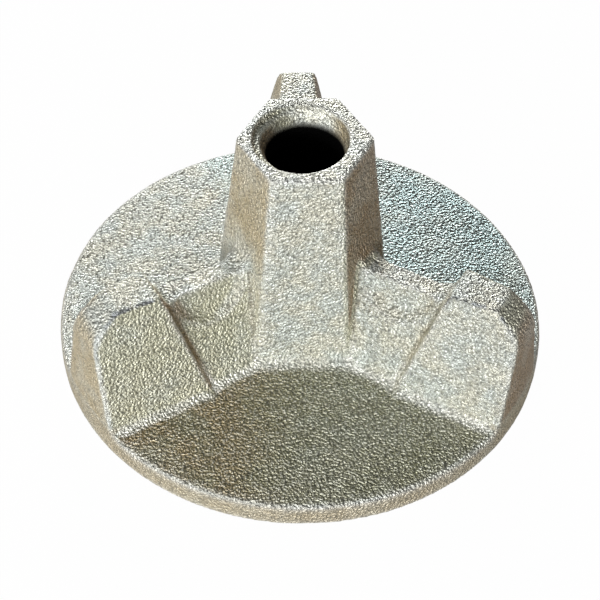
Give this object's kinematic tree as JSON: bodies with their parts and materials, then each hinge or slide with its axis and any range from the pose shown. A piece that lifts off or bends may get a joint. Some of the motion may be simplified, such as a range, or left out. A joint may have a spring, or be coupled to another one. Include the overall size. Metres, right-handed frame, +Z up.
{
  "type": "formwork wing nut",
  "caption": "Cast iron nut for a formwork tie rod: round flange, tapered hexagonal boss with a coarse-threaded bore, and radial hammer lugs tied to the boss by scooped saddles.",
  "frame": {"origin": "centre of the flat underside of the flange, on the bore's axis", "axes": "+Z up the bore, from the flange's underside to the top of the boss; +Y through the middle of one lug"},
  "size_m": [0.11, 0.11, 0.0605],
  "materials": {
    "casting": "sand-cast grain under a zinc coat with a pale yellow passivation"
  },
  "bodies": {
    "root": {"wing_nut_casting": "casting"}
  },
  "joints": []
}
